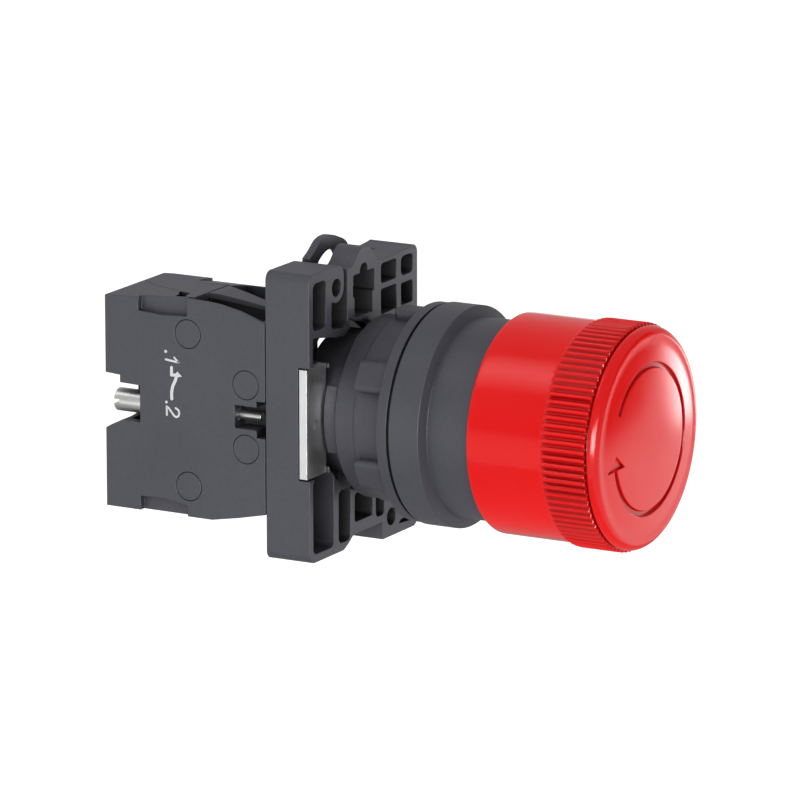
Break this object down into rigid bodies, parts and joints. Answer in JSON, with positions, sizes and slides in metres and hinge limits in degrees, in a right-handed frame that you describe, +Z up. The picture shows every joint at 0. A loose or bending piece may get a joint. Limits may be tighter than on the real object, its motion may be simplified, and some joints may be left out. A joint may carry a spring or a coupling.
{
  "type": "emergency stop button",
  "caption": "Latching mushroom-head emergency stop button, turned to release, with bezel, round fixing nut, locking collar and a normally closed contact block.",
  "frame": {"origin": "on the button's axis, at the bezel's back face, where the panel's front face lies under the gasket", "axes": "-Y is the front, where the head is pushed along +Y; +Z is up, the side of the locking lever; +X is to the right seen from the front"},
  "size_m": [0.03, 0.0732, 0.0416],
  "materials": {
    "red_plastic": "moulded, glossy",
    "grey_plastic": "moulded, fine matt texture",
    "dark_plastic": "moulded",
    "black_rubber": "matt",
    "steel": "zinc plated",
    "spring_steel": "drawn wire",
    "copper_alloy": "bright",
    "silver_contact": "bright"
  },
  "bodies": {
    "housing": {"bezel_housing": "grey_plastic", "wiper_seal": "black_rubber", "panel_gasket": "black_rubber", "return_spring": "spring_steel", "latch_retainer": "spring_steel", "fixing_nut": "grey_plastic", "latch_spring_right": "spring_steel", "latch_spring_left": "spring_steel", "collar_body": "grey_plastic", "lock_plate": "steel", "block_near_cover": "grey_plastic", "block_far_body": "grey_plastic", "block_pins": "grey_plastic", "mounting_screw": "steel", "terminal_screws": "steel", "terminal_clamps": "steel", "fixed_contacts": "copper_alloy", "fixed_tips": "silver_contact", "carrier_spring": "spring_steel"},
    "spindle": {"spindle": "dark_plastic", "driver_circlip": "spring_steel", "pusher_plate": "dark_plastic", "pusher_screw": "steel", "twist_spring": "spring_steel"},
    "head": {"push_cap": "red_plastic", "cap_driver": "dark_plastic", "release_sleeve": "dark_plastic"},
    "pin_right": {"latch_pin_right": "steel"},
    "pin_left": {"latch_pin_left": "steel"},
    "locking_ring": {"lock_ring": "grey_plastic"},
    "carrier": {"contact_carrier": "dark_plastic", "contact_bridge": "copper_alloy", "bridge_tips": "silver_contact"}
  },
  "joints": [
    {"name": "head_push", "type": "slide", "parent": "housing", "child": "spindle", "axis": [0, 1, 0], "range_m": [0, 0.0045], "deforming": ["return_spring"]},
    {"name": "head_twist", "type": "hinge", "parent": "spindle", "child": "head", "pos_m": [0, -0.02, 0], "axis": [0, 1, 0], "range_deg": [0, 30], "stiffness_Nm_per_rad": 0.03, "deforming": ["twist_spring"]},
    {"name": "lock_swing", "type": "hinge", "parent": "housing", "child": "locking_ring", "pos_m": [0, 0.017, 0], "axis": [0, 1, 0], "range_deg": [0, 12]},
    {"name": "pin_slide_right", "type": "slide", "parent": "housing", "child": "pin_right", "axis": [-1, 0, 0], "range_m": [0, 0.00112], "deforming": ["latch_spring_right"]},
    {"name": "pin_slide_left", "type": "slide", "parent": "housing", "child": "pin_left", "axis": [1, 0, 0], "range_m": [0, 0.00112], "deforming": ["latch_spring_left"]},
    {"name": "carrier_slide", "type": "slide", "parent": "housing", "child": "carrier", "axis": [0, 1, 0], "range_m": [0, 0.0045], "deforming": ["carrier_spring"]}
  ],
  "couplings": [
    {"joint": "pin_slide_right", "follows": "head_push", "ratio": 0.25},
    {"joint": "pin_slide_left", "follows": "head_push", "ratio": 0.25},
    {"joint": "carrier_slide", "follows": "head_push", "ratio": 1}
  ]
}
